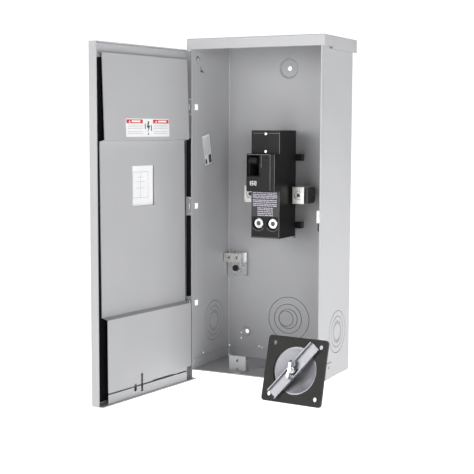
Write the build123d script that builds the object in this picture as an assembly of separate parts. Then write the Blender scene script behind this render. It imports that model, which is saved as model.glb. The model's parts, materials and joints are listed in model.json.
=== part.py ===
from build123d import *
import math
import os

# Outdoor load center: a wall box with a rain cap, a hinged door that carries the stowed inner cover, a main
# breaker, lugs, a ground bar, and the loose closing plate for a hub opening.
# Drawn in box coordinates, in millimetres: x to the right, y into the wall, z up, from the box's front left
# bottom corner. write() shifts every piece so that the origin is the upper mounting hole, on the wall.

# ---- driving dimensions ----
BOX_W = 228.6
BOX_D = 133.0
BOX_H = 544.0
SHEET = 1.5
BEND_R = 1.8
DIMPLE = 3.5
MOUNT_TOP_Z = 501.0
MOUNT_LOW_Z = 46.0
MOUNT_LOW_SPACING = 156.0
MOUNT_HOLE_R = 4.0
MID_X = BOX_W / 2
WALL_Y = BOX_D + DIMPLE
BACK_Y = BOX_D - SHEET
SLIT = 0.5

CAP_SIDE = 6.0
CAP_FRONT = 4.4
CAP_FRONT_H = 17.0
CAP_SIDE_H = 21.0
CAP_TAB = 34.0

DOOR_W = 237.0
DOOR_BOTTOM = -16.0
DOOR_TOP = 526.2
DOOR_DEPTH = 14.6
DOOR_HINGE_DEPTH = 13.0
DOOR_OPEN = 97.2
PIVOT_X = -4.6
PIVOT_Y = 7.2
DOOR_X = PIVOT_X
DOOR_Y = -2.9
DOOR_LIP_N = 16.2
DOOR_LIP_TOP = -0.35
HINGE_ZS = (110.6, 272.6, 434.6)
PIN_R = 1.2
EYE_R = 2.3
EYE_HALF = 4.0

COVER_T = 1.2
COVER_A0 = 9.6
COVER_A1 = 218.0
COVER_BOTTOM = 1.85
COVER_TOP = 511.0
SLOT_A = (135.7, 140.8)
SLOT_Z = (-10.0, 19.0)
OVAL_A = (151.2, 157.8)
OVAL_Z = (-7.2, 4.7)
NOTCH_A = 21.4
NOTCH_Z = 7.5
FOOT_NOTCH_A = (58.0, 112.0)
FOOT_NOTCH_Z = 3.05
WINDOW_A = (89.6, 143.4)
WINDOW_Z = (279.5, 342.0)
WARNING_A = (62.7, 168.8)
WARNING_Z = (387.0, 414.8)

BREAKER_W = 50.8
BREAKER_BOTTOM = 222.0
BREAKER_TOP = 397.4
BREAKER_FRONT = 42.0
BREAKER_SPLIT = 78.0
BREAKER_BACK = 106.0
BREAKER_WALL = 2.2
HANDLE_FRONT = 23.0
BREAKER_X0 = MID_X - BREAKER_W / 2
BREAKER_X1 = MID_X + BREAKER_W / 2
BLOCK_TOP = BREAKER_TOP - 37.4
BLOCK_BOTTOM = BREAKER_TOP - 98.3
POLE_PITCH = 25.4

PLATE = 96.4
PLATE_T = 4.0
PLATE_HOLE = 10.8
PLATE_LEAN = 15.3
PLATE_YAW = -3.5
PLATE_X = 198.4
PLATE_Y = -145.5
PLATE_Z = 4.8
BAR_ANGLE = 52.0


# ---- helpers ----
def block(x0, x1, y0, y1, z0, z1):
    return Pos((x0 + x1) / 2, (y0 + y1) / 2, (z0 + z1) / 2) * Box(x1 - x0, y1 - y0, z1 - z0)


def rod_x(y, z, r, x0, x1):
    return Pos((x0 + x1) / 2, y, z) * Rot(0, 90, 0) * Cylinder(r, x1 - x0)


def rod_y(x, z, r, y0, y1):
    return Pos(x, (y0 + y1) / 2, z) * Rot(90, 0, 0) * Cylinder(r, y1 - y0)


def rod_z(x, y, r, z0, z1):
    return Pos(x, y, (z0 + z1) / 2) * Cylinder(r, z1 - z0)


def cone_y(x, z, r_front, r_back, y0, y1):
    """A frustum along y, r_front at y0 and r_back at y1."""
    return Pos(x, (y0 + y1) / 2, z) * Rot(-90, 0, 0) * Cone(r_front, r_back, y1 - y0)


def ring_y(x, z, r, y0, y1, width=1.2):
    return rod_y(x, z, r + width / 2, y0, y1) - rod_y(x, z, r - width / 2, y0 - 1, y1 + 1)


def ring_x(y, z, r, x0, x1, width=1.2):
    return rod_x(y, z, r + width / 2, x0, x1) - rod_x(y, z, r - width / 2, x0 - 1, x1 + 1)


def ring_z(x, y, r, z0, z1, width=1.2):
    return rod_z(x, y, r + width / 2, z0, z1) - rod_z(x, y, r - width / 2, z0 - 1, z1 + 1)


def hex_y(x, z, r, y0, y1):
    return Pos(x, y1, z) * Rot(90, 0, 0) * extrude(RegularPolygon(r, 6), y1 - y0)


def prism_x(points, x0, x1):
    """A solid with the (y, z) outline points, from x0 to x1."""
    face = make_face(Polyline([(x0, y, z) for y, z in points], close=True))
    return Solid(extrude(face, x1 - x0, dir=(1, 0, 0)).wrapped)


def swing(shape):
    """Turns a piece drawn with the door shut to where it is with the door open."""
    return Pos(PIVOT_X, PIVOT_Y, 0) * Rot(0, 0, -DOOR_OPEN) * Pos(-PIVOT_X, -PIVOT_Y, 0) * shape


def lean(shape):
    """Stands a piece of the hub plate (x right, y away from the viewer, z up the plate) on its corner."""
    return Pos(PLATE_X, PLATE_Y, PLATE_Z) * Rot(0, 0, PLATE_YAW) * Rot(-PLATE_LEAN, 0, 0) * shape


def write(shapes, name):
    group = shapes if isinstance(shapes, list) else [shapes]
    moved = [Pos(-MID_X, -WALL_Y, -MOUNT_TOP_Z) * shape for shape in group]
    solids = [solid for shape in moved for solid in shape.solids()]
    export_step(solids[0] if len(solids) == 1 else Compound(children=solids), f"parts/{name}.step")


# ---- enclosure ----
LOW_HOLE_XS = (MID_X - MOUNT_LOW_SPACING / 2, MID_X + MOUNT_LOW_SPACING / 2)
WRAP_TOP = BOX_H - SHEET
SIDE_KO_Y = 77.0
SIDE_KO_Z = 71.7
KO_RADII = (34.4, 25.2, 17.4, 14.2)
BACK_KO = ((118.0, 37.7), (116.4, 25.4), (116.7, 17.0), (112.8, 13.4))
BACK_KO_Z = 75.0
GROOVE = 0.7


def rounded_wrap(inset, front, z0, z1, radius):
    body = block(inset, BOX_W - inset, front, BOX_D - inset, z0, z1)
    rear = [edge for edge in body.edges().filter_by(Axis.Z) if edge.center().Y > BOX_D / 2]
    return fillet(rear, radius)


def enclosure_wrap():
    wrap = rounded_wrap(0, 0, 0, WRAP_TOP, BEND_R + SHEET) - rounded_wrap(SHEET, -5, -1, WRAP_TOP + 1, BEND_R)
    dimples = [(MID_X, MOUNT_TOP_Z, 17.0, MOUNT_HOLE_R)]
    dimples += [(x, MOUNT_LOW_Z, 9.5, MOUNT_HOLE_R - 0.4) for x in LOW_HOLE_XS]
    for x, z, r, hole in dimples:
        wrap += cone_y(x, z, r + 0.8, r - 2.0, BACK_Y + SLIT, WALL_Y)
        wrap -= cone_y(x, z, r, r - 2.8, BACK_Y - 0.01, WALL_Y - SHEET)
        wrap -= rod_y(x, z, hole, BACK_Y - 5, WALL_Y + 5)
    for x, z in ((26.4, 43.2), (26.4, 33.4), (61.0, 21.8), (66.6, 20.2)):
        wrap -= rod_y(x, z, 1.2, BACK_Y - 1, WALL_Y)
    for x, r in BACK_KO:
        wrap -= ring_y(x, BACK_KO_Z, r, BACK_Y - 1, BACK_Y + GROOVE)
    for r in KO_RADII:
        wrap -= ring_x(SIDE_KO_Y, SIDE_KO_Z, r, SHEET - GROOVE, SHEET + 1)
        wrap -= ring_x(SIDE_KO_Y, SIDE_KO_Z, r, BOX_W - GROOVE, BOX_W + 1)
        wrap -= ring_x(SIDE_KO_Y, SIDE_KO_Z, r - 2.2, -1, GROOVE)
        wrap -= ring_x(SIDE_KO_Y, SIDE_KO_Z, r - 2.2, BOX_W - SHEET - 1, BOX_W - SHEET + GROOVE)
    wrap -= rod_y(3.4, 18.6, 1.3, BACK_Y - 4, WALL_Y)
    for z in HINGE_ZS:
        wrap -= block(-1, SHEET + 1, 5.4, 22.0, z - 4.6, z + 4.6)
    wrap -= rod_x(39.6, 21.8, 2.2, -1, SHEET + 1)
    wrap -= rod_x(39.6, 20.0, 2.2, BOX_W - SHEET - 1, BOX_W + 1)
    # cover hanger: a hook and an angle, pressed part of the way through each side wall
    for inner, inward in ((SHEET, 1), (BOX_W - SHEET, -1)):
        low, high = sorted((inner - inward * 1.1, inner + inward * 2))
        hook = ring_x(20.0, 510.5, 6.2, low, high, 2.4)
        wrap -= hook & block(-5, BOX_W + 5, 5, 40, 510.5, 520)
        wrap -= rod_x(19.0, 506.5, 1.8, low, high)
        wrap -= prism_x([(28.6, 492.0), (28.6, 502.0), (31.0, 502.0), (32.0, 496.5), (44.0, 492.0)], low, high)
    return wrap


def end_wall(z_plate, z_flange_end):
    """A pan that closes one end of the wrap, with its flanges spot welded inside."""
    z0, z1 = sorted((z_plate, z_plate + (SHEET if z_flange_end > z_plate else -SHEET)))
    f0, f1 = sorted((z_plate, z_flange_end))
    pan = block(SHEET, BOX_W - SHEET, 0, BACK_Y - 0.2, z0, z1)
    pan += block(SHEET, SHEET * 2, 3.5, 126, f0, f1)
    pan += block(BOX_W - SHEET * 2, BOX_W - SHEET, 3.5, 126, f0, f1)
    pan += block(8, BOX_W - 8, BACK_Y - 0.2 - SHEET, BACK_Y - 0.2, f0, f1)
    corners = block(0, 6, 126, BOX_D, z0 - 1, z1 + 1) + block(BOX_W - 6, BOX_W, 126, BOX_D, z0 - 1, z1 + 1)
    return pan - corners


def bottom_endwall():
    pan = end_wall(0, 17.0)
    for x in (112.0, 176.0):
        for r in (17.4, 14.0, 11.0):
            pan -= ring_z(x, 70.0, r, SHEET - GROOVE, SHEET + 1)
            pan -= ring_z(x, 70.0, r - 1.7, -1, GROOVE)
    for x, y, r in ((90.0, 38.5, 1.8), (94.6, 54.7, 1.2), (72.4, 30.0, 1.4)):
        pan -= rod_z(x, y, r, -1, SHEET + 1)
    pan -= rod_x(20.0, 8.0, 1.8, 0, SHEET * 2 + 1)
    return pan


def top_endwall():
    return end_wall(WRAP_TOP, WRAP_TOP - 17.0)


def top_cap():
    x0, x1, y0 = -CAP_SIDE, BOX_W + CAP_SIDE, -CAP_FRONT
    cap = block(x0, x1, y0, BOX_D, BOX_H - SHEET, BOX_H)
    cap += block(x0, x1, y0, y0 + SHEET, BOX_H - CAP_FRONT_H, BOX_H)
    for side in (x0, x1 - SHEET):
        cap += block(side, side + SHEET, y0, CAP_TAB - CAP_FRONT, BOX_H - CAP_FRONT_H, BOX_H)
        cap += block(side, side + SHEET, CAP_TAB - CAP_FRONT, BOX_D, BOX_H - CAP_SIDE_H, BOX_H)
    edges = [e for e in cap.edges().filter_by(Axis.X) if e.center().Y < y0 + 0.1 and e.center().Z > BOX_H - 0.1]
    edges += [e for e in cap.edges().filter_by(Axis.Y) if e.center().Z > BOX_H - 0.1]
    edges += [e for e in cap.edges().filter_by(Axis.Z) if e.center().Y < y0 + 0.1]
    cap = fillet(edges, 1.2)
    seam_y = CAP_TAB - CAP_FRONT
    for low, high in ((x0 - 1, x0 + GROOVE), (x1 - GROOVE, x1 + 1)):
        cap -= block(low, high, seam_y - 0.8, seam_y, BOX_H - CAP_SIDE_H - 1, BOX_H - 3)
    cap -= ring_z(MID_X, 66.0, 32.0, BOX_H - GROOVE, BOX_H + 1)
    hub = PLATE / 2 - PLATE_HOLE
    for dx in (-hub, hub):
        for dy in (-hub, hub):
            cap -= rod_z(MID_X + dx, 66.0 + dy, 2.2, BOX_H - SHEET - 1, BOX_H + 1)
    return cap


def latch_bracket():
    plate = block(58.5, 88.8, 24.0, 25.5, SHEET, 26.0)
    plate += block(87.3, 88.8, 24.0, 34.0, SHEET, 20.0)
    foot_outline = [(59.5, 24.0, SHEET), (78.0, 3.5, SHEET), (88.8, 3.5, SHEET), (88.8, 24.0, SHEET)]
    foot = Polyline(foot_outline, close=True)
    plate += extrude(make_face(foot), 1.2, dir=(0, 0, 1))
    plate -= rod_y(73.5, 17.8, 2.1, 20, 30)
    plate -= rod_y(73.0, 3.6, 1.9, 20, 30)
    return plate


def padlock_tab():
    tab = block(BOX_W, BOX_W + SHEET, 27.4, 57.4, 0.5, 26.0)
    corner = [e for e in tab.edges().filter_by(Axis.X) if e.center().Y > 50 or e.center().Z > 20]
    tab = chamfer(corner, 5.0)
    return tab - rod_x(39.6, 19.8, 2.6, BOX_W - 1, BOX_W + 4)


# ---- door ----
def door_block(a0, a1, n0, n1, z0, z1):
    """A block in door coordinates: a across from the hinge edge, n inward from the skin's outer face."""
    return block(DOOR_X + a0, DOOR_X + a1, DOOR_Y + n0, DOOR_Y + n1, z0, z1)


def oval_hole():
    hole = door_block(*OVAL_A, 10, 30, *OVAL_Z)
    return fillet(hole.edges().filter_by(Axis.Y), (OVAL_A[1] - OVAL_A[0]) / 2 - 0.05)


def door_pan():
    pan = door_block(0, DOOR_W, 0, SHEET, DOOR_BOTTOM, DOOR_TOP)
    pan += door_block(0, SHEET, 0, DOOR_HINGE_DEPTH, DOOR_BOTTOM, DOOR_TOP)
    pan += door_block(DOOR_W - SHEET, DOOR_W, 0, DOOR_DEPTH, DOOR_BOTTOM, DOOR_TOP)
    pan += door_block(0, DOOR_W, 0, 2.4, DOOR_TOP - SHEET, DOOR_TOP)
    pan += door_block(13.0, 229.6, 0, DOOR_DEPTH, DOOR_TOP - SHEET, DOOR_TOP)
    pan += door_block(233.9, DOOR_W, 0, DOOR_DEPTH, DOOR_TOP - SHEET, DOOR_TOP)
    pan += door_block(0, DOOR_W, 0, DOOR_LIP_N + 5.5, DOOR_BOTTOM, DOOR_BOTTOM + SHEET)
    pan += door_block(NOTCH_A, COVER_A1, DOOR_LIP_N, DOOR_LIP_N + COVER_T, DOOR_BOTTOM, DOOR_LIP_TOP)
    outer = [e for e in pan.edges().filter_by(Axis.Z) if e.center().Y < DOOR_Y + 0.1]
    pan = fillet(outer, 1.2)
    pan -= door_block(*SLOT_A, 10, 30, *SLOT_Z) + oval_hole()
    for z in HINGE_ZS:
        pan -= door_block(-1, SHEET + 0.01, 6.5, 30, z - EYE_HALF * 3 - 0.4, z + EYE_HALF * 3 + 1.2)
    return swing(pan)


def inner_cover():
    """The dead front, stowed in the door: one bent sheet with a recessed middle."""
    back = [(8.3, COVER_TOP), (12.5, 382.5), (2.6, 380.0), (4.4, 116.0), (15.9, 113.2), (16.2, COVER_BOTTOM)]
    front = [(n + COVER_T, z) for n, z in reversed(back)]
    outline = [(DOOR_Y + n, z) for n, z in back + front]
    cover = prism_x(outline, DOOR_X + COVER_A0, DOOR_X + COVER_A1)
    cover += door_block(COVER_A0, COVER_A1, 3.0, 9.3, COVER_TOP - COVER_T, COVER_TOP)
    cover -= door_block(*WINDOW_A, 1, 12, *WINDOW_Z)
    cover -= door_block(0, NOTCH_A, 12, 25, COVER_BOTTOM - 1, NOTCH_Z)
    cover -= door_block(*FOOT_NOTCH_A, 12, 25, COVER_BOTTOM - 1, FOOT_NOTCH_Z)
    cover -= door_block(*SLOT_A, 12, 25, *SLOT_Z) + oval_hole()
    return swing(cover)


def cover_label():
    label = door_block(*WARNING_A, 0, 0.3, *WARNING_Z)
    label = fillet(label.edges().filter_by(Axis.Y), 2.0)
    slope = (12.5 - 8.3) / (COVER_TOP - 382.5)
    mid_z = sum(WARNING_Z) / 2
    at_mid = 8.3 + slope * (COVER_TOP - mid_z) + COVER_T + 0.02
    centred = Pos(0, -DOOR_Y, -mid_z) * label
    return swing(Pos(0, DOOR_Y + at_mid, mid_z) * Rot(math.degrees(math.atan(slope)), 0, 0) * centred)


def wiring_label():
    return swing(door_block(90.5, 150.0, SHEET, SHEET + 0.3, 262.0, 352.0))


def box_hinge(z):
    eye = rod_z(PIVOT_X, PIVOT_Y, EYE_R, z - EYE_HALF, z + EYE_HALF)
    web = block(PIVOT_X, SHEET + 1.0, PIVOT_Y - 0.6, PIVOT_Y + 0.6, z - EYE_HALF, z + EYE_HALF)
    leg = block(SHEET, SHEET + 1.0, 1.8, PIVOT_Y + 0.6, z - EYE_HALF, z + EYE_HALF)
    return eye + web + leg - rod_z(PIVOT_X, PIVOT_Y, PIN_R + 0.05, z - 20, z + 20)


def door_hinge(z):
    leaf = door_block(SHEET, SHEET + 1.0, 2.0, 8.0, z - EYE_HALF * 3, z + EYE_HALF * 3)
    for side in (-1, 1):
        low, high = sorted((z + side * (EYE_HALF + 0.3), z + side * EYE_HALF * 3))
        leaf += rod_z(PIVOT_X, PIVOT_Y, EYE_R, low, high)
        leaf += block(PIVOT_X, DOOR_X + SHEET + 1.0, PIVOT_Y - 2.3, PIVOT_Y - 1.3, low, high)
    leaf -= block(PIVOT_X - 1, PIVOT_X + 6, PIVOT_Y - 2.5, PIVOT_Y + 3, z - EYE_HALF - 0.3, z + EYE_HALF + 0.3)
    return swing(leaf - rod_z(PIVOT_X, PIVOT_Y, PIN_R, z - 20, z + 20))


def hinge_pin(z):
    pin = rod_z(PIVOT_X, PIVOT_Y, PIN_R, z - EYE_HALF * 3, z + EYE_HALF * 3)
    return pin + rod_z(PIVOT_X, PIVOT_Y, PIN_R + 0.9, z + EYE_HALF * 3, z + EYE_HALF * 3 + 0.8)


def wall_label():
    label = Pos(SHEET + 0.15, 51.4, 364.6) * Rot(12.5, 0, 0) * Box(0.3, 28.0, 53.0)
    return label


# ---- breaker ----
HANDLE_PIVOT_Y = 56.0
HANDLE_PIVOT_Z = BLOCK_TOP - 19.7
HANDLE_XS = (BREAKER_X0 + 5.0, BREAKER_X0 + 19.5)
ARM_PIVOT_Y = 86.0
ARM_PIVOT_Z = 300.0
RECESS = (BREAKER_X0 + 1.6, BREAKER_X0 + 26.0, BLOCK_TOP - 37.0, BLOCK_TOP - 2.4)
LUG_XS = (BREAKER_X0 + 12.9, BREAKER_X0 + 38.5)
SCREW_R = 7.6
WIRE_Y = BREAKER_FRONT + 26.0
WIRE_WAY_R = 7.0
LUG_Z = BREAKER_TOP - 151.5
POLE_XS = (MID_X - POLE_PITCH / 2, MID_X + POLE_PITCH / 2)


def cavity(x, y0, y1, z0, z1):
    half = POLE_PITCH / 2 - BREAKER_WALL / 2 - 0.6
    return block(x - half, x + half, y0, y1, z0, z1)


def breaker_base():
    base = block(BREAKER_X0, BREAKER_X1, BREAKER_SPLIT, BREAKER_BACK, BREAKER_BOTTOM, BREAKER_TOP)
    for x in POLE_XS:
        base -= cavity(x, BREAKER_SPLIT - 1, BREAKER_BACK - BREAKER_WALL, BREAKER_BOTTOM + 4, BREAKER_TOP - 4)
    return base - rod_x(ARM_PIVOT_Y, ARM_PIVOT_Z, 2.1, POLE_XS[0], POLE_XS[1])


def breaker_cover():
    cover = block(BREAKER_X0, BREAKER_X1, BREAKER_FRONT, BREAKER_SPLIT, BREAKER_BOTTOM, BREAKER_TOP)
    cover += block(BREAKER_X0, BREAKER_X1, HANDLE_FRONT, BREAKER_FRONT, BLOCK_BOTTOM, BLOCK_TOP)
    edges = [e for e in cover.edges().filter_by(Axis.Z) if e.center().Y < HANDLE_FRONT + 0.1]
    edges += [e for e in cover.edges().filter_by(Axis.X) if e.center().Y < HANDLE_FRONT + 0.1]
    cover = fillet(edges, 1.4)
    for x in POLE_XS:
        cover -= cavity(x, BREAKER_FRONT + BREAKER_WALL, BREAKER_SPLIT + 1, BREAKER_BOTTOM + 4, BREAKER_TOP - 4)
    for x0, x1 in ((BREAKER_X0 + 1.0, HANDLE_XS[0] - 0.4), (HANDLE_XS[1] + 0.4, MID_X)):
        y0, y1 = HANDLE_PIVOT_Y - 12.5, HANDLE_PIVOT_Y + 5
        cover += block(x0, x1, y0, y1, HANDLE_PIVOT_Z - 4.5, HANDLE_PIVOT_Z + 4.5)
    cover -= rod_x(HANDLE_PIVOT_Y, HANDLE_PIVOT_Z, 1.95, BREAKER_X0 + 2.2, BREAKER_X0 + 23.0)
    x0, x1, z0, z1 = RECESS
    cover -= block(x0, x1, HANDLE_FRONT - 1, HANDLE_FRONT + 5.0, z0, z1)
    # handle slot, through to the cavity
    cover -= block(BREAKER_X0 + 4.0, BREAKER_X0 + 20.5, HANDLE_FRONT, BREAKER_FRONT + 5, z0 + 1.0, z1)
    for x in LUG_XS:
        cover -= rod_y(x, LUG_Z, SCREW_R + 2.0, BREAKER_FRONT - 1, BREAKER_FRONT + 14)
        # the wire's way in, open to the base so that the cover drops over a wired lug
        z0, z1 = BREAKER_BOTTOM - 1, BREAKER_BOTTOM + 6
        cover -= rod_z(x, WIRE_Y, WIRE_WAY_R, z0, z1)
        cover -= block(x - WIRE_WAY_R, x + WIRE_WAY_R, WIRE_Y, BREAKER_SPLIT + 1, z0, z1)
    for z in (BREAKER_TOP - 5.7, BREAKER_TOP - 34.0):
        cover -= rod_y(MID_X, z, 3.3, HANDLE_FRONT - 1, BREAKER_FRONT + 1.8)
        cover -= rod_y(MID_X, z, 1.2, BREAKER_FRONT, BREAKER_FRONT + 12)
    cover -= rod_y(BREAKER_X0 + 36.0, BLOCK_TOP - 6.5, 1.2, HANDLE_FRONT - 1, HANDLE_FRONT + 2)
    # raised rib round the right half of the handle block
    rib_x = BREAKER_X1 - 8.0
    cover -= block(rib_x, rib_x + 0.8, HANDLE_FRONT - 1, HANDLE_FRONT + 0.5, BLOCK_BOTTOM + 2, BLOCK_TOP - 2.4)
    return cover


def cover_screws():
    screws = []
    for z in (BREAKER_TOP - 5.7, BREAKER_TOP - 34.0):
        screw = rod_y(MID_X, z, 2.1, BREAKER_FRONT, BREAKER_FRONT + 1.8)
        screw += rod_y(MID_X, z, 1.1, BREAKER_FRONT + 1.0, BREAKER_FRONT + 10)
        screw -= block(MID_X - 3, MID_X + 3, BREAKER_FRONT - 1, BREAKER_FRONT + 0.8, z - 0.35, z + 0.35)
        screws.append(screw)
    return screws


def breaker_handle():
    x0, x1 = HANDLE_XS
    mid_z = BLOCK_TOP - 10.5
    angle = math.degrees(math.atan2(mid_z - HANDLE_PIVOT_Z, HANDLE_PIVOT_Y - HANDLE_FRONT))
    reach = (HANDLE_PIVOT_Y - HANDLE_FRONT) / math.cos(math.radians(angle))
    lever = block(x0, x1, -reach - 2.5, 0, -4.8, 4.8)
    tip = [e for e in lever.edges().filter_by(Axis.X) if e.center().Y < -reach]
    lever = fillet(tip, 2.2)
    lever -= block(x0 - 1, x1 + 1, -reach + 9, -4, 3.2, 9) + block(x0 - 1, x1 + 1, -reach + 9, -4, -9, -3.2)
    for k in range(3):
        lever -= block(x0 - 1, x1 + 1, -reach - 3, -reach - 1.9, -2.6 + k * 2.2, -1.8 + k * 2.2)
    hub = rod_x(0, 0, 5.0, x0, x1)
    stubs = rod_x(0, 0, 1.9, x0 - 2.6, x1 + 3.0)
    return Pos(0, HANDLE_PIVOT_Y, HANDLE_PIVOT_Z) * Rot(-angle, 0, 0) * (lever + hub + stubs)


def line_lug(x):
    body = block(x - 9.4, x + 9.4, BREAKER_FRONT + 16, BREAKER_FRONT + 34, LUG_Z - 9.5, LUG_Z + 9.5)
    body -= rod_z(x, BREAKER_FRONT + 26.0, 6.4, LUG_Z - 12, LUG_Z + 12)
    return body - rod_y(x, LUG_Z, SCREW_R + 0.1, BREAKER_FRONT + 15, BREAKER_FRONT + 21)


def set_screw(x, z, r, y_front, length):
    screw = rod_y(x, z, r, y_front, y_front + length)
    return screw - hex_y(x, z, r * 0.55, y_front - 0.01, y_front + length * 0.5)


def fixed_contact(x):
    bar = block(x - 5.0, x + 5.0, BREAKER_BACK - 6.2, BREAKER_BACK - 4.2, 296.0, 345.0)
    return bar + block(x - 3.5, x + 3.5, BREAKER_BACK - 8.4, BREAKER_BACK - 6.2, 334.0, 342.0)


def contact_arm(x):
    arm = block(x - 4.0, x + 4.0, -2.5, 2.5, -8.0, 40.0)
    arm += rod_x(0, 0, 5.0, x - 4.0, x + 4.0)
    arm += block(x - 3.0, x + 3.0, 2.5, 11.2, 33.0, 40.0)
    return Pos(0, ARM_PIVOT_Y, ARM_PIVOT_Z) * (arm - rod_x(0, 0, 2.05, x - 10, x + 10))


def arm_shaft():
    return rod_x(ARM_PIVOT_Y, ARM_PIVOT_Z, 2.0, POLE_XS[0] - 6.0, POLE_XS[1] + 6.0)


def arc_chute(x):
    stack = block(x - 8.0, x - 7.2, 62.0, 96.0, 352.0, 388.0)
    stack += block(x + 7.2, x + 8.0, 62.0, 96.0, 352.0, 388.0)
    for k in range(7):
        z = 353.0 + k * 5.2
        stack += block(x - 7.3, x + 7.3, 63.0, 95.0, z, z + 1.4)
    return stack


def trip_unit(x):
    coil = block(x - 8.0, x + 8.0, 84.0, 101.0, 262.0, 284.0)
    blade = block(x - 4.5, x + 4.5, 79.5, 80.9, 258.0, 288.0)
    foot = block(x - 4.5, x + 4.5, 79.5, 86.0, 262.0, 266.0)
    return coil + blade + foot


def breaker_label():
    z1 = BREAKER_TOP - 99.0
    return block(BREAKER_X0 + 1.6, BREAKER_X1 - 1.6, BREAKER_FRONT - 0.3, BREAKER_FRONT, z1 - 41.0, z1)


# ---- mounting pan, load lugs, neutral and ground ----
PAN_FRONT = 122.0
PAN_HALF = 14.3
PAN_FOOT = 8.0
PAN_BOTTOM = 215.5
PAN_TOP = 396.0
STRAP_Z = 291.0
LOAD_LUG_Y = (83.0, 111.0)


def mounting_pan():
    x0, x1 = MID_X - PAN_HALF, MID_X + PAN_HALF
    pan = block(x0, x1, PAN_FRONT, PAN_FRONT + SHEET, PAN_BOTTOM, PAN_TOP)
    for x in (x0, x1 - SHEET):
        pan += block(x, x + SHEET, PAN_FRONT, BACK_Y, PAN_BOTTOM, PAN_TOP)
    for foot in (x0, x1 - PAN_FOOT):
        pan += block(foot, foot + PAN_FOOT, BACK_Y - SHEET, BACK_Y, PAN_BOTTOM, PAN_TOP)
    return pan


def breaker_stand():
    stand = block(97.5, 131.0, BREAKER_BACK, PAN_FRONT, 226.0, 393.0)
    for z in (239.5, 352.5):
        stand += block(80.5, 148.1, BREAKER_BACK + 4, PAN_FRONT, z - 5.5, z + 5.5)
    stand -= block(60.0, 168.6, 111.5, 115.6, STRAP_Z - 8.2, STRAP_Z + 8.2)
    return stand


LOAD_LUG_X = {-1: MID_X - 47.9, 1: MID_X + 40.3}
LOAD_LUG_HALF = 10.3


def load_strap(side):
    x0, x1 = sorted((MID_X + side * 6.0, LOAD_LUG_X[side] + side * LOAD_LUG_HALF))
    return block(x0, x1, 112.0, 115.0, STRAP_Z - 7.5, STRAP_Z + 7.5)


def load_lug(side):
    centre = LOAD_LUG_X[side]
    x0, x1 = centre - LOAD_LUG_HALF, centre + LOAD_LUG_HALF
    lug = block(x0, x1, LOAD_LUG_Y[0], LOAD_LUG_Y[1], STRAP_Z - 14.3, STRAP_Z + 14.3)
    lug = fillet(lug.edges().filter_by(Axis.X), 1.0)
    lug -= rod_z(centre, 99.0, 8.0, STRAP_Z - 20, STRAP_Z + 20)
    return lug - rod_y(centre, STRAP_Z, 7.2, LOAD_LUG_Y[0] - 1, 92.0)


def load_post(side):
    """Carries the strap's end. The right one also has a round-cornered wall beside its lug."""
    centre = LOAD_LUG_X[side]
    post = block(centre - 6.0, centre + 6.0, 115.3, BACK_Y, STRAP_Z - 9.0, STRAP_Z + 9.0)
    if side > 0:
        near = centre + LOAD_LUG_HALF + 0.3
        wall = block(near, near + 5.7, 87.0, 117.0, STRAP_Z - 13.0, STRAP_Z + 13.0)
        wall = fillet([e for e in wall.edges().filter_by(Axis.X) if e.center().Y > 100], 9.0)
        post += wall + block(centre, near + 0.2, 115.3, 117.0, STRAP_Z - 4.0, STRAP_Z + 4.0)
    return post


NEUTRAL_X = 198.3
NEUTRAL_Z = 256.5


def neutral_insulator():
    body = block(NEUTRAL_X - 11.5, NEUTRAL_X + 11.5, 108.0, BACK_Y, 231.0, 274.0)
    nose = block(NEUTRAL_X - 11.5, NEUTRAL_X + 11.5, 90.0, 108.0, 231.0, NEUTRAL_Z - 10.3)
    lower_edge = [e for e in nose.edges().filter_by(Axis.X) if e.center().Y < 92 and e.center().Z < 232]
    return body + fillet(lower_edge, 6.0)


def neutral_lug():
    lug = block(NEUTRAL_X - 11.5, NEUTRAL_X + 11.5, 86.0, 108.0, NEUTRAL_Z - 10.0, NEUTRAL_Z + 10.0)
    lug -= rod_z(NEUTRAL_X, 98.0, 6.5, NEUTRAL_Z - 20, NEUTRAL_Z + 20)
    return lug - rod_y(NEUTRAL_X, NEUTRAL_Z, 5.6, 85.0, 92.5)


GROUND_XS = (13.0, 28.0)


def ground_bracket():
    plate = block(3.4, 39.8, 124.4, 125.9, 145.5, 186.5)
    plate += block(3.4, 39.8, 125.9, BACK_Y, 145.5, 147.0) + block(3.4, 39.8, 125.9, BACK_Y, 185.0, 186.5)
    return plate - rod_y(19.3, 158.0, 3.2, 120, 128)


def ground_bar():
    bar = block(3.0, 36.6, 110.4, 124.4, 169.5, 185.0)
    for x in GROUND_XS:
        bar -= rod_z(x, 117.8, 3.6, 160, 190)
        bar -= rod_y(x, 177.2, 3.6, 109, 114.6)
    return bar


def ground_screw():
    screw = rod_y(19.3, 158.0, 5.3, 121.4, 124.4) + rod_y(19.3, 158.0, 3.1, 124.4, BACK_Y)
    return screw - block(14.5, 24.1, 121.0, 122.6, 157.4, 158.6)


# ---- hub closing plate ----
# Plate coordinates: x right from its left edge, z up from its bottom edge, y away from the viewer.
DISC_R = 38.0
DISH_R = 35.0
PLATE_MID = PLATE / 2
BOLT_R = 3.0
BAR_FRONT = -7.0
BAR_LENGTH = 97.0
BAR_HALF = 8.8


def hub_plate():
    plate = block(0, PLATE, 0, PLATE_T, 0, PLATE)
    plate = fillet(plate.edges().filter_by(Axis.Y), 5.0)
    plate -= rod_y(PLATE_MID, PLATE_MID, DISH_R, -5, 10)
    for x in (PLATE_HOLE, PLATE - PLATE_HOLE):
        for z in (PLATE_HOLE, PLATE - PLATE_HOLE):
            plate -= rod_y(x, z, 3.4, -5, 10)
    return lean(plate)


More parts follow.
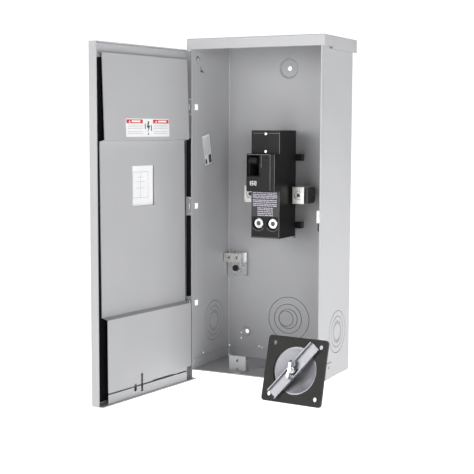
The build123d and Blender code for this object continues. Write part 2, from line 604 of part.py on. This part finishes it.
def closing_disc():
    disc = rod_y(PLATE_MID, PLATE_MID, DISC_R, PLATE_T, PLATE_T + 1.2)
    disc -= rod_y(PLATE_MID, PLATE_MID, DISH_R - 1.0, PLATE_T - 1, PLATE_T + 5)
    dish = cone_y(PLATE_MID, PLATE_MID, DISH_R - 0.8, 12.0, PLATE_T, PLATE_T + 8.0)
    dish -= cone_y(PLATE_MID, PLATE_MID, DISH_R - 2.4, 10.0, PLATE_T - 0.01, PLATE_T + 6.8)
    return lean(disc + dish - rod_y(PLATE_MID, PLATE_MID, BOLT_R + 0.1, -5, 20))


def closure_bar():
    """A channel, open to the front, that bridges the hole."""
    half = BAR_LENGTH / 2
    bar = block(-half, half, BAR_FRONT, -0.3, -BAR_HALF, BAR_HALF)
    bar = fillet([e for e in bar.edges().filter_by(Axis.X) if e.center().Y > -1], 1.4)
    bar -= block(-half - 5, half + 5, BAR_FRONT - 1, -1.8, -BAR_HALF + SHEET, BAR_HALF - SHEET)
    bar -= rod_y(0, 0, BOLT_R + 0.05, -20, 5)
    return lean(Pos(PLATE_MID, 0, PLATE_MID) * Rot(0, -BAR_ANGLE, 0) * bar)


def closure_bolt():
    bolt = rod_y(0, 0, BOLT_R, -17.0, PLATE_T + 8.0) + rod_y(0, 0, 7.0, PLATE_T + 8.0, PLATE_T + 10.6)
    return lean(Pos(PLATE_MID, 0, PLATE_MID) * bolt)


def wing_nut():
    nut = cone_y(0, 0, 5.0, 7.0, -12.0, -2.1)
    wing = block(-2.0, 2.0, -19.0, -5.0, 3.5, 14.0)
    wing = fillet([e for e in wing.edges().filter_by(Axis.X) if e.center().Z > 10], 4.0)
    wing -= block(-5, 5, -8.0, 0, 6.5, 20.0)
    nut += wing + Rot(0, 180, 0) * wing
    nut -= rod_y(0, 0, BOLT_R + 0.05, -40, 5)
    return lean(Pos(PLATE_MID, 0, PLATE_MID) * Rot(0, 6, 0) * nut)


# ---- write every piece ----
os.makedirs("parts", exist_ok=True)
write(enclosure_wrap(), "enclosure_wrap")
write(bottom_endwall(), "bottom_endwall")
write(top_endwall(), "top_endwall")
write(top_cap(), "top_cap")
write(latch_bracket(), "latch_bracket")
write(padlock_tab(), "padlock_tab")
write(wall_label(), "wall_label")
write(door_pan(), "door_pan")
write(inner_cover(), "inner_cover")
write(cover_label(), "cover_label")
write(wiring_label(), "wiring_label")
for level, hinge_z in zip(("lower", "middle", "upper"), HINGE_ZS):
    write(box_hinge(hinge_z), f"box_hinge_{level}")
    write(door_hinge(hinge_z), f"door_hinge_{level}")
    write(swing(hinge_pin(hinge_z)), f"hinge_pin_{level}")
write(mounting_pan(), "mounting_pan")
write(breaker_stand(), "breaker_stand")
write(breaker_base(), "breaker_base")
write(breaker_cover(), "breaker_cover")
write(cover_screws(), "breaker_cover_screws")
write(breaker_handle(), "breaker_handle")
write(breaker_label(), "breaker_label")
write([set_screw(x, LUG_Z, SCREW_R, BREAKER_FRONT + 2.0, 17.4) for x in LUG_XS], "line_set_screws")
SIDES = (("left", -1, POLE_XS[0], LUG_XS[0]), ("right", 1, POLE_XS[1], LUG_XS[1]))
for side_name, sign, pole_x, lug_x in SIDES:
    write(line_lug(lug_x), f"line_lug_{side_name}")
    write(fixed_contact(pole_x), f"fixed_contact_{side_name}")
    write(contact_arm(pole_x), f"contact_arm_{side_name}")
    write(arc_chute(pole_x), f"arc_chute_{side_name}")
    write(trip_unit(pole_x), f"trip_unit_{side_name}")
    write(load_strap(sign), f"load_strap_{side_name}")
    write(load_lug(sign), f"load_lug_{side_name}")
    write(load_post(sign), f"load_insulator_{side_name}")
    write(set_screw(LOAD_LUG_X[sign], STRAP_Z, 6.6, LOAD_LUG_Y[0] + 0.8, 7.0), f"load_set_screw_{side_name}")
write(arm_shaft(), "contact_shaft")
write(neutral_insulator(), "neutral_insulator")
write(neutral_lug(), "neutral_lug")
write(set_screw(NEUTRAL_X, NEUTRAL_Z, 5.5, 85.6, 5.6), "neutral_set_screw")
write(ground_bracket(), "ground_bracket")
write(ground_bar(), "ground_bar")
write([set_screw(x, 177.2, 3.5, 109.4, 4.6) for x in GROUND_XS], "ground_set_screws")
write(ground_screw(), "ground_screw")
write(hub_plate(), "hub_plate")
write(closing_disc(), "closing_disc")
write(closure_bar(), "closure_bar")
write(closure_bolt(), "closure_bolt")
write(wing_nut(), "wing_nut")
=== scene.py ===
"""Looks of the outdoor load center: paint, metals, labels, breaker markings, studio and camera.

The CAD nodes keep their shapes and places. Printed detail is thin slabs laid on named planes.
A plane is (origin, u axis, v axis, outward axis), and its u and v are in millimetres.
"""
import json
import math

import bmesh
import bpy
from mathutils import Matrix, Vector


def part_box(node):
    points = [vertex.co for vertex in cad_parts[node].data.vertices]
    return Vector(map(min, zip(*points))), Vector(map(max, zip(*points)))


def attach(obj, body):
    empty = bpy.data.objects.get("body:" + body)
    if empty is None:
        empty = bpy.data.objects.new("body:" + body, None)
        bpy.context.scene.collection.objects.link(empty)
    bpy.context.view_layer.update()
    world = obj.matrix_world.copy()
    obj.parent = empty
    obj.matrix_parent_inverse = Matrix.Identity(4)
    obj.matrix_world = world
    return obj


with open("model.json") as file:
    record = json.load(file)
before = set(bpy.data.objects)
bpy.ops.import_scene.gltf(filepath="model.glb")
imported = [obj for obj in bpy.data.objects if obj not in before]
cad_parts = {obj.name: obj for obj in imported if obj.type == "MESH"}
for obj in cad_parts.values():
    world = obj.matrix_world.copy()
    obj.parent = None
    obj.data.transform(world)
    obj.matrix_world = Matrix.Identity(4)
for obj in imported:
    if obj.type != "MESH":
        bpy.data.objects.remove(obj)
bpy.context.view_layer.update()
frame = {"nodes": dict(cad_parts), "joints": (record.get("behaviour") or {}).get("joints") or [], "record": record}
NODES = frame["nodes"]
JOINTS = {joint["name"]: joint for joint in frame["joints"]}
SLOTS = {part["node"]: part["material_slot"] for part in frame["record"]["subparts"]}
MM = 0.001

# ---- places worked out from the frame ----
PIVOT = Vector(JOINTS["door_swing"]["pos_m"])
DOOR_ANGLE = math.radians(-JOINTS["door_swing"]["range_deg"][1])
DOOR_TURN = Matrix.Rotation(DOOR_ANGLE, 3, "Z")
PIVOT_DEPTH = 10.1 * MM
FLOOR_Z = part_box("door_pan")[0].z - 0.2 * MM
RIGHT = Vector((1, 0, 0))
INWARD = Vector((0, 1, 0))
UP = Vector((0, 0, 1))
BOX_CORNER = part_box("enclosure_wrap")[0]


def in_box(x, y, z):
    """A place in the box's own millimetres, from its lower left corner at the front."""
    return BOX_CORNER + Vector((x, y, z)) * MM


def middle(node):
    low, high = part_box(node)
    return (low + high) / 2


def in_door(across, depth):
    """A place in the open door, across from the hinge pin and in from the skin's outer face, in metres."""
    return PIVOT + DOOR_TURN @ Vector((across, depth - PIVOT_DEPTH, 0))


def door_plane(depth, height, across):
    """A plane that faces out of the door's inner side. Its u runs from the free edge to the hinge."""
    corner = in_door(across, depth)
    corner.z = height
    return corner, DOOR_TURN @ -RIGHT, UP, DOOR_TURN @ INWARD


# ---- shader helpers ----
def new_material(name, colour, roughness, metallic=0.0):
    material = bpy.data.materials.new(name)
    material.use_nodes = True
    tree = material.node_tree
    shader = tree.nodes["Principled BSDF"]
    shader.inputs["Base Color"].default_value = (*colour, 1)
    shader.inputs["Roughness"].default_value = roughness
    shader.inputs["Metallic"].default_value = metallic
    return material, tree, shader


def noise(tree, scale, detail=4.0, stretch=(1, 1, 1), kind="ShaderNodeTexNoise"):
    place = tree.nodes.new("ShaderNodeTexCoord")
    mapping = tree.nodes.new("ShaderNodeMapping")
    mapping.inputs["Scale"].default_value = stretch
    texture = tree.nodes.new(kind)
    texture.inputs["Scale"].default_value = scale
    if "Detail" in texture.inputs:
        texture.inputs["Detail"].default_value = detail
    tree.links.new(place.outputs["Object"], mapping.inputs["Vector"])
    tree.links.new(mapping.outputs["Vector"], texture.inputs["Vector"])
    return texture


def spread(tree, source, low, high, socket):
    """Ramps a 0 to 1 value between two greys or colours and links it to the socket."""
    ramp = tree.nodes.new("ShaderNodeValToRGB")
    ramp.color_ramp.elements[0].position = 0.3
    ramp.color_ramp.elements[1].position = 0.7
    ramp.color_ramp.elements[0].color = (*low, 1)
    ramp.color_ramp.elements[1].color = (*high, 1)
    tree.links.new(source, ramp.inputs["Fac"])
    tree.links.new(ramp.outputs["Color"], socket)


def bump(tree, shader, source, strength, distance):
    node = tree.nodes.new("ShaderNodeBump")
    node.inputs["Strength"].default_value = strength
    node.inputs["Distance"].default_value = distance
    tree.links.new(source, node.inputs["Height"])
    tree.links.new(node.outputs["Normal"], shader.inputs["Normal"])


def grey(value):
    return (value, value, value)


def surface(name, colour, vary, rough, metallic=0.0, scale=40.0, stretch=(1, 1, 1), grain=900.0,
            bump_by=0.1, kind="ShaderNodeTexNoise", shine=0.5):
    """A material whose colour and roughness drift over a broad noise, with a fine grain in its bump."""
    material, tree, shader = new_material(name, colour, sum(rough) / 2, metallic)
    shader.inputs["Specular IOR Level"].default_value = shine
    broad = noise(tree, scale, 3.0, stretch, kind)
    out = broad.outputs["Color"] if kind == "ShaderNodeTexVoronoi" else broad.outputs["Fac"]
    low = tuple(c * (1 - vary) for c in colour)
    high = tuple(min(1.0, c * (1 + vary)) for c in colour)
    spread(tree, out, low, high, shader.inputs["Base Color"])
    spread(tree, out, grey(rough[0]), grey(rough[1]), shader.inputs["Roughness"])
    fine = noise(tree, grain, 2.0, stretch)
    bump(tree, shader, fine.outputs["Fac"], bump_by, 0.0003)
    return material


MATERIALS = {
    "grey_paint": surface("grey_paint", (0.438, 0.440, 0.452), 0.022, (0.34, 0.42), 0.0, 9.0, grain=1300.0,
                          bump_by=0.10),
    "label": surface("label", (0.86, 0.86, 0.87), 0.02, (0.30, 0.38), 0.0, 60.0, grain=1500.0, bump_by=0.03),
    "breaker_print": surface("breaker_print", (0.030, 0.029, 0.032), 0.15, (0.35, 0.50), 0.0, 120.0),
    "black_moulding": surface("black_moulding", (0.0125, 0.0122, 0.0120), 0.18, (0.40, 0.52), 0.0, 70.0,
                              grain=2600.0, bump_by=0.28, shine=0.2),
    "black_insulator": surface("black_insulator", (0.012, 0.012, 0.012), 0.15, (0.25, 0.34), 0.0, 60.0,
                               shine=0.35),
    "dark_screw": surface("dark_screw", (0.03, 0.03, 0.03), 0.2, (0.3, 0.45), 0.6, 200.0),
    "zinc": surface("zinc", (0.66, 0.67, 0.68), 0.08, (0.24, 0.36), 1.0, 200.0, grain=1800.0, bump_by=0.10),
    "plated_aluminium": surface("plated_aluminium", (0.70, 0.69, 0.66), 0.16, (0.30, 0.48), 1.0, 420.0,
                                (1, 1, 0.25), 1600.0, 0.45),
    "copper": surface("copper", (0.72, 0.42, 0.28), 0.10, (0.30, 0.45), 1.0, 150.0),
    "inner_steel": surface("inner_steel", (0.40, 0.40, 0.41), 0.10, (0.35, 0.50), 1.0, 150.0),
    "black_enamel": surface("black_enamel", (0.020, 0.019, 0.018), 0.15, (0.38, 0.50), 0.0, 50.0,
                            grain=1700.0, bump_by=0.2, shine=0.2),
    "galvanised": surface("galvanised", (0.29, 0.29, 0.31), 0.16, (0.34, 0.46), 1.0, 230.0,
                          grain=1200.0, bump_by=0.12, kind="ShaderNodeTexVoronoi"),
    "red_ink": surface("red_ink", (0.62, 0.025, 0.035), 0.04, (0.35, 0.45), 0.0, 300.0, bump_by=0.02),
    "grey_ink": surface("grey_ink", (0.52, 0.52, 0.55), 0.06, (0.40, 0.50), 0.0, 500.0, bump_by=0.02),
    "dark_ink": surface("dark_ink", (0.035, 0.035, 0.04), 0.10, (0.40, 0.50), 0.0, 500.0, bump_by=0.02),
    "pale_ink": surface("pale_ink", (0.50, 0.48, 0.55), 0.30, (0.40, 0.50), 0.0, 900.0, bump_by=0.02),
    "white_ink": surface("white_ink", (0.92, 0.92, 0.92), 0.03, (0.40, 0.50), 0.0, 500.0, bump_by=0.02),
    # painted shade, a dark sheet laid in pressed grooves and screw sockets
    "recess_shade": surface("recess_shade", (0.085, 0.085, 0.09), 0.25, (0.45, 0.60), 0.0, 300.0, bump_by=0.05),
    # painted shade, a black sheet laid in the door's gaps beside the cover
    "gap_shade": surface("gap_shade", (0.010, 0.010, 0.010), 0.20, (0.70, 0.85), 0.0, 250.0, bump_by=0.15, shine=0.1),
    # painted highlight for the breaker's moulded edges
    "edge_highlight": surface("edge_highlight", (0.20, 0.20, 0.205), 0.35, (0.30, 0.45), 0.0, 420.0, bump_by=0.05),
}

for node, cad in NODES.items():
    cad.data.materials.clear()
    finish = "zinc" if node == "breaker_cover_screws" else SLOTS[node]
    cad.data.materials.append(MATERIALS[finish])


# ---- printed and raised detail, built as thin slabs on a plane ----
def add_slab(mesh, plane, outline, height):
    """Adds a slab to the mesh. The outline's (u, v) points are in millimetres on the plane."""
    origin, u_axis, v_axis, out = plane
    base = [origin + u_axis * u * MM + v_axis * v * MM for u, v in outline]
    low = [mesh.verts.new(point) for point in base]
    top = [mesh.verts.new(point + out * height * MM) for point in base]
    mesh.faces.new(low[::-1])
    mesh.faces.new(top)
    for i in range(len(low)):
        j = (i + 1) % len(low)
        mesh.faces.new((low[i], low[j], top[j], top[i]))


def bar(u0, u1, v0, v1):
    return [(u0, v0), (u1, v0), (u1, v1), (u0, v1)]


def disc(u, v, radius, steps=24):
    angles = [2 * math.pi * k / steps for k in range(steps)]
    return [(u + radius * math.cos(a), v + radius * math.sin(a)) for a in angles]


def add_ring(mesh, plane, u, v, radius, width, height, start=0, sweep=360, steps=64):
    """Adds a flat ring to the mesh, or an arc of one, from start through sweep degrees."""
    origin, u_axis, v_axis, out = plane
    closed = sweep == 360
    loops = []
    for k in range(steps if closed else steps + 1):
        angle = math.radians(start + sweep * k / steps)
        corners = []
        for r, lift in ((-1, 0), (1, 0), (1, height), (-1, height)):
            reach = radius + r * width / 2
            across = u_axis * (u + reach * math.cos(angle)) + v_axis * (v + reach * math.sin(angle))
            corners.append(mesh.verts.new(origin + (across + out * lift) * MM))
        loops.append(corners)
    pairs = zip(loops, loops[1:] + loops[:1]) if closed else zip(loops, loops[1:])
    for here, there in pairs:
        for i in range(4):
            j = (i + 1) % 4
            mesh.faces.new((here[i], here[j], there[j], there[i]))
    if not closed:
        mesh.faces.new(loops[0])
        mesh.faces.new(loops[-1][::-1])


def print_on(name, plane, outlines, material, body, height=0.08, rings=()):
    """Makes one piece of slabs and of rings. A ring is (u, v, radius, width[, start, sweep])."""
    mesh = bmesh.new()
    for outline in outlines:
        add_slab(mesh, plane, outline, height)
    for u, v, radius, width, *arc in rings:
        add_ring(mesh, plane, u, v, radius, width, height, *arc)
    bmesh.ops.recalc_face_normals(mesh, faces=mesh.faces)
    data = bpy.data.meshes.new(name)
    mesh.to_mesh(data)
    mesh.free()
    piece = bpy.data.objects.new(name, data)
    bpy.context.scene.collection.objects.link(piece)
    data.materials.append(MATERIALS[material])
    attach(piece, body)


def text_lines(u0, u1, tops, thickness, gaps):
    """Rows of short bars, like words too small to read."""
    bars = []
    for row, top in enumerate(tops):
        u = u0
        word = row
        while u < u1 - 1.0:
            length = min(gaps[word % len(gaps)], u1 - u)
            bars.append(bar(u, u + length, top - thickness, top))
            u += length + 0.9
            word += 1
    return bars


WORDS = (6.5, 3.2, 8.1, 4.4, 5.6, 2.6, 7.2)


# ---- labels ----
COVER_TOP = 511.0
COVER_FOLD = 382.5
COVER_DEPTHS = (8.3, 12.5)
COVER_SHEET = 1.2
WARNING_FREE_EDGE = 168.8
WARNING_MID_Z = 400.9
FILM = 0.34


def warning_label():
    """Two coloured headers, rows of grey lines and a plain sign, on the sloping top of the cover."""
    rise = (COVER_DEPTHS[1] - COVER_DEPTHS[0]) / (COVER_TOP - COVER_FOLD)
    slope = math.atan(rise)
    u_axis = DOOR_TURN @ -RIGHT
    v_axis = DOOR_TURN @ Vector((0, -math.sin(slope), math.cos(slope)))
    out = DOOR_TURN @ Vector((0, math.cos(slope), math.sin(slope)))
    low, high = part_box("cover_label")
    depth = COVER_DEPTHS[0] + rise * (COVER_TOP - WARNING_MID_Z) + COVER_SHEET + FILM
    centre = in_door(WARNING_FREE_EDGE * MM, depth * MM)
    centre.z = (low.z + high.z) / 2
    plane = (centre - v_axis * (high.z - low.z) / 2, u_axis, v_axis, out)
    headers = [bar(1.2, 40, 20.5, 26.3), bar(65.5, 104.6, 20.5, 26.3)]
    print_on("label_headers", plane, headers, "red_ink", "door")
    marks = []
    for start in (6.5, 71.0):
        marks.append([(start, 21.6), (start + 4.2, 21.6), (start + 2.1, 25.4)])
        marks.append(bar(start + 7, start + 28, 22.2, 24.9))
    print_on("label_header_marks", plane, marks, "white_ink", "door", 0.14)
    rows = (18.2, 15.6, 13.0, 8.2, 5.2)
    lines = text_lines(4, 40, rows, 0.9, WORDS) + text_lines(67, 102, rows, 0.9, WORDS[::-1])
    print_on("label_text_lines", plane, lines, "grey_ink", "door")
    sign = [[(53, 24), (56, 24), (54.5, 17), (58, 17), (52, 6), (53.5, 14), (50, 14)]]
    sign += [disc(53.5, 4.2, 1.5), bar(45, 47, 12, 20), bar(60, 62, 9, 18)]
    print_on("label_sign", plane, sign, "dark_ink", "door")


def wiring_diagram():
    """Plain lines on the paper label of the door's skin, seen through the cover's window."""
    plane = door_plane(1.86 * MM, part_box("wiring_label")[0].z, 150.0 * MM)
    diagram = [bar(10, 48, 70, 70.7), bar(10, 10.7, 30, 70), bar(47.3, 48, 30, 70), bar(10, 48, 30, 30.7)]
    diagram += [bar(28.6, 29.2, 30, 70), bar(18, 40, 55, 55.6), bar(18, 40, 45, 45.6)]
    diagram.append(bar(22, 36, 62, 62.6))
    print_on("diagram_lines", plane, diagram, "grey_ink", "door")


def wall_label():
    """Border, blocks and lines on the tilted label of the left wall."""
    tilt = math.radians(12.5)
    width, height = 28.0, 53.0
    v_axis = Vector((0, -math.sin(tilt), math.cos(tilt)))
    u_axis = Vector((0, math.cos(tilt), math.sin(tilt)))
    face = middle("wall_label") + RIGHT * 0.17 * MM
    plane = (face - u_axis * width / 2 * MM - v_axis * height / 2 * MM, u_axis, v_axis, RIGHT)
    border = [bar(0, 1.0, 0, height), bar(0, width, height - 0.8, height)]
    border += [bar(width - 0.8, width, 0, height), bar(0, width, 0, 0.8)]
    border += [bar(16, 25, 3, 17), bar(4, 9, 4, 12)]
    print_on("wall_label_frame", plane, border, "dark_ink", "enclosure")
    lines = text_lines(3, 25, range(20, 50, 3), 1.0, WORDS)
    print_on("wall_label_lines", plane, lines, "grey_ink", "enclosure")


warning_label()
wiring_diagram()
wall_label()

# ---- painted shade in the pressed grooves of the box ----
SHEET = 1.5
BOX_W = 228.6
BACK_Y = 131.5
GROOVE = 0.7
HANGER_GROOVE = 1.1
SHADE_W = 0.8
SHADE_T = 0.12
KO_RADII = (34.4, 25.2, 17.4, 14.2)
SIDE_KO_Y = 77.0
SIDE_KO_Z = 71.7
BACK_KO = ((118.0, 37.7), (116.4, 25.4), (116.7, 17.0), (112.8, 13.4))
BACK_KO_Z = 75.0


def groove_shades():
    # the dark slabs on the groove floors are painted shade in the knockout rings and the hanger's pressed marks
    back = (in_box(0, BACK_Y + GROOVE, 0), RIGHT, UP, -INWARD)
    rings = [(x, BACK_KO_Z, radius, SHADE_W) for x, radius in BACK_KO]
    print_on("back_knockout_shade", back, [], "recess_shade", "enclosure", SHADE_T, rings)
    rings = [(SIDE_KO_Y, SIDE_KO_Z, radius, SHADE_W) for radius in KO_RADII]
    for side_name, face in (("left_inner", SHEET), ("right_outer", BOX_W)):
        wall = (in_box(face - GROOVE, 0, 0), INWARD, UP, RIGHT)
        print_on(side_name + "_knockout_shade", wall, [], "recess_shade", "enclosure", SHADE_T, rings)
    wall = (in_box(SHEET - HANGER_GROOVE, 0, 0), INWARD, UP, RIGHT)
    angle_mark = [(28.8, 492.2), (43.0, 492.2), (31.9, 496.3), (30.9, 501.8), (28.8, 501.8)]
    hook = (20.0, 510.5, 6.2, 2.0, 2, 176)
    print_on("hanger_shade", wall, [angle_mark], "recess_shade", "enclosure", SHADE_T, [hook])


groove_shades()


# ---- painted shade, black strips in the gaps beside the stowed cover ----
def door_gap_shades():
    """Dark strips of painted shade on the door's skin at both edges, and on the hinge flange above and below its
    knuckle.
    """
    skin_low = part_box("door_pan")[0].z
    tall = (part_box("inner_cover")[1].z - skin_low) / MM - 10.0
    for side_name, across, width in (("free", 235.2, 34.0), ("hinge", 26.0, 22.5)):
        skin = door_plane(1.52 * MM, skin_low + 3.0 * MM, across * MM)
        strip = [bar(0, width, 0, tall)]
        print_on("door_gap_shade_" + side_name, skin, strip, "gap_shade", "door", 0.5)
    corner, towards_hinge, door_up, door_out = door_plane(1.6 * MM, in_box(0, 0, 0).z, 1.55 * MM)
    flange = (corner, door_out, door_up, -towards_hinge)
    strips = [bar(0, 9.5, 118, 257), bar(0, 9.5, 288, 384)]
    print_on("door_gap_shade_flange", flange, strips, "gap_shade", "door", 0.4)


door_gap_shades()

# ---- breaker ----
# where each segment of a digit lies, as shares of the digit's width and height
SEGMENTS = {
    "top": (0, 1, 0.84, 1), "middle": (0, 1, 0.43, 0.57), "bottom": (0, 1, 0, 0.16),
    "upper_left": (0, 0.3, 0.5, 1), "upper_right": (0.7, 1, 0.5, 1),
    "lower_left": (0, 0.3, 0, 0.5), "lower_right": (0.7, 1, 0, 0.5),
}
DIGITS = {
    "1": ("upper_right", "lower_right"),
    "5": ("top", "upper_left", "middle", "lower_right", "bottom"),
    "0": ("top", "upper_left", "upper_right", "lower_left", "lower_right", "bottom"),
}


def digits(text, u, v, width, height, pitch):
    outlines = []
    for place, digit in enumerate(text):
        for segment in DIGITS[digit]:
            u0, u1, v0, v1 = SEGMENTS[segment]
            start = u + place * pitch
            outlines.append(bar(start + u0 * width, start + u1 * width, v + v0 * height, v + v1 * height))
    return outlines


def facing_plane(x, y, z):
    """A plane that faces out of the box, from a corner in metres."""
    return Vector((x, y, z)), RIGHT, UP, -INWARD


def breaker_markings():
    """Rating digits, the printed label's lines and painted highlights along the edges of the moulding."""
    low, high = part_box("breaker_cover")
    label_low, label_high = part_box("breaker_label")
    block = facing_plane(low.x, low.y, low.z)
    body = facing_plane(low.x, label_high.y, low.z)
    label = facing_plane(label_low.x, label_low.y, label_low.z)
    rating = digits("150", 4.6, 86.6, 3.5, 7.4, 5.1)
    print_on("rating_digits", block, rating, "white_ink", "enclosure")
    rows = [39.5, 36.6, 33.9, 31.2, 27.4, 24.6, 21.2, 18.4, 14.6, 11.8, 8.6, 5.6, 2.8]
    lines = text_lines(1.5, 46.0, rows[:8], 1.5, WORDS)
    lines += text_lines(10.0, 38.0, rows[8:], 1.4, WORDS[::-1])
    lines += [disc(42, 33, 3.4), disc(4.6, 33, 2.8)]
    print_on("breaker_print_lines", label, lines, "pale_ink", "enclosure", 0.05)
    tall = (high.z - low.z) / MM
    # the light strips along the moulding's edges and the arcs round the lug recesses are painted highlights
    edges = [bar(50.0, 50.6, 2, 77), bar(50.0, 50.6, 138, tall - 3), bar(3, 50, tall - 5, tall - 4.5)]
    edges += [bar(1.0, 49.6, 1.0, 1.5), bar(0.4, 0.9, 2, 77)]
    lug_arcs = [(u, 23.9, 12.2, 0.5, 215, 110) for u in (12.9, 38.5)]
    print_on("breaker_edge_highlights", body, edges, "edge_highlight", "enclosure", rings=lug_arcs)
    block_edges = [bar(1.2, 42.6, 136.2, 136.7), bar(42.4, 43.0, 79, 136.7), bar(50.0, 50.5, 78, 137)]
    block_edges.append(bar(26.6, 27.1, 116, 136.2))
    print_on("handle_block_highlights", block, block_edges, "edge_highlight", "enclosure")


def socket_shade(screws, radius, depth):
    """Dark hexagons in the sockets of a node that holds one screw, or two side by side."""
    low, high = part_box(screws)
    reach = (high.z - low.z) / 2
    mid_z = (low.z + high.z) / 2
    centres = {round(low.x + reach, 5), round(high.x - reach, 5)}
    for place, x in enumerate(sorted(centres), start=1):
        plane = facing_plane(x, low.y + depth * MM, mid_z)
        print_on(f"{screws}_socket_{place}", plane, [disc(0, 0, radius, 6)], "recess_shade", "enclosure", 0.1)


breaker_markings()
socket_shade("line_set_screws", 4.0, 2.4)
socket_shade("load_set_screw_left", 3.5, 2.2)
socket_shade("load_set_screw_right", 3.5, 2.2)
socket_shade("neutral_set_screw", 2.9, 1.8)
socket_shade("ground_set_screws", 1.85, 1.2)


# ---- studio ----
def white_floor():
    """A white floor that also gives some light, just under the door's lowest edge."""
    material, tree, shader = new_material("studio_white", (0.93, 0.93, 0.93), 0.85)
    drift = noise(tree, 1.5)
    spread(tree, drift.outputs["Fac"], grey(0.925), grey(0.935), shader.inputs["Base Color"])
    shader.inputs["Emission Color"].default_value = (1, 1, 1, 1)
    shader.inputs["Emission Strength"].default_value = 0.9
    data = bpy.data.meshes.new("studio_floor")
    half = 6.0
    corners = [(x, y, FLOOR_Z) for x, y in ((-half, -half), (half, -half), (half, half), (-half, half))]
    data.from_pydata(corners, [], [(0, 1, 2, 3)])
    floor = bpy.data.objects.new("studio_floor", data)
    bpy.context.scene.collection.objects.link(floor)
    data.materials.append(material)


def area_light(name, place, target, size, power):
    lamp = bpy.data.lights.new(name, "AREA")
    lamp.shape = "SQUARE"
    lamp.size = size
    lamp.energy = power
    holder = bpy.data.objects.new(name, lamp)
    holder.location = place
    holder.rotation_euler = (Vector(target) - Vector(place)).to_track_quat("-Z", "Y").to_euler()
    holder.visible_camera = False
    bpy.context.scene.collection.objects.link(holder)


def studio_world(horizon, overhead, viewer_side, right_side):
    """White behind the object, darker overhead, to its right and on the side that it faces."""
    world = bpy.data.worlds.new("studio")
    world.use_nodes = True
    tree = world.node_tree
    place = tree.nodes.new("ShaderNodeTexCoord")
    split = tree.nodes.new("ShaderNodeSeparateXYZ")
    tree.links.new(place.outputs["Generated"], split.inputs["Vector"])
    factors = []
    for axis, ends, values in (("Z", (0.12, 0.75), (horizon, overhead)),
                               ("Y", (0.05, 0.55), (viewer_side, 1.0)),
                               ("X", (-0.2, 0.35), (1.0, right_side))):
        ramp = tree.nodes.new("ShaderNodeMapRange")
        ramp.inputs["From Min"].default_value = ends[0]
        ramp.inputs["From Max"].default_value = ends[1]
        ramp.inputs["To Min"].default_value = values[0]
        ramp.inputs["To Max"].default_value = values[1]
        tree.links.new(split.outputs[axis], ramp.inputs["Value"])
        factors.append(ramp.outputs["Result"])
    total = factors[0]
    for factor in factors[1:]:
        product = tree.nodes.new("ShaderNodeMath")
        product.operation = "MULTIPLY"
        tree.links.new(total, product.inputs[0])
        tree.links.new(factor, product.inputs[1])
        total = product.outputs["Value"]
    # the backdrop itself is white from every side, whatever light the world gives
    light_path = tree.nodes.new("ShaderNodeLightPath")
    seen = tree.nodes.new("ShaderNodeMath")
    seen.operation = "MAXIMUM"
    tree.links.new(total, seen.inputs[0])
    tree.links.new(light_path.outputs["Is Camera Ray"], seen.inputs[1])
    background = tree.nodes["Background"]
    background.inputs["Color"].default_value = (1, 1, 1, 1)
    tree.links.new(seen.outputs["Value"], background.inputs["Strength"])
    bpy.context.scene.world = world


white_floor()
studio_world(1.1, 0.55, 0.34, 0.10)
area_light("key", (1.9, -2.3, -0.1), (0, -0.1, -0.3), 1.3, 40)
area_light("front", (-0.9, -3.0, 0.4), (0, 0, -0.2), 1.4, 36)
area_light("low_card", (1.0, -0.1, -0.40), (0.1, -0.1, -0.46), 0.5, 5)

# ---- camera ----
CAMERA_PLACE = (0.76027, -1.69343, -0.10114)
YAW = math.radians(26.91)
PITCH = math.radians(5.68)
ROLL = math.radians(0.22)
LENS = 82.69
SENSOR = 36.0


def add_camera():
    """Looks in past the door from the right and slightly down, with no shift and no depth of field."""
    ahead = Vector((-math.sin(YAW), math.cos(YAW), 0))
    forward = ahead * math.cos(PITCH) - UP * math.sin(PITCH)
    level = Vector((math.cos(YAW), math.sin(YAW), 0))
    side = level * math.cos(ROLL) + level.cross(forward) * math.sin(ROLL)
    upward = side.cross(forward)
    data = bpy.data.cameras.new("camera")
    data.lens = LENS
    data.sensor_width = SENSOR
    data.clip_end = 50.0
    camera = bpy.data.objects.new("camera", data)
    turn = Matrix((side, upward, -forward)).transposed().to_4x4()
    camera.matrix_world = Matrix.Translation(CAMERA_PLACE) @ turn
    bpy.context.scene.collection.objects.link(camera)
    bpy.context.scene.camera = camera


add_camera()
bpy.context.scene.view_settings.view_transform = "Standard"

bpy.context.view_layer.update()
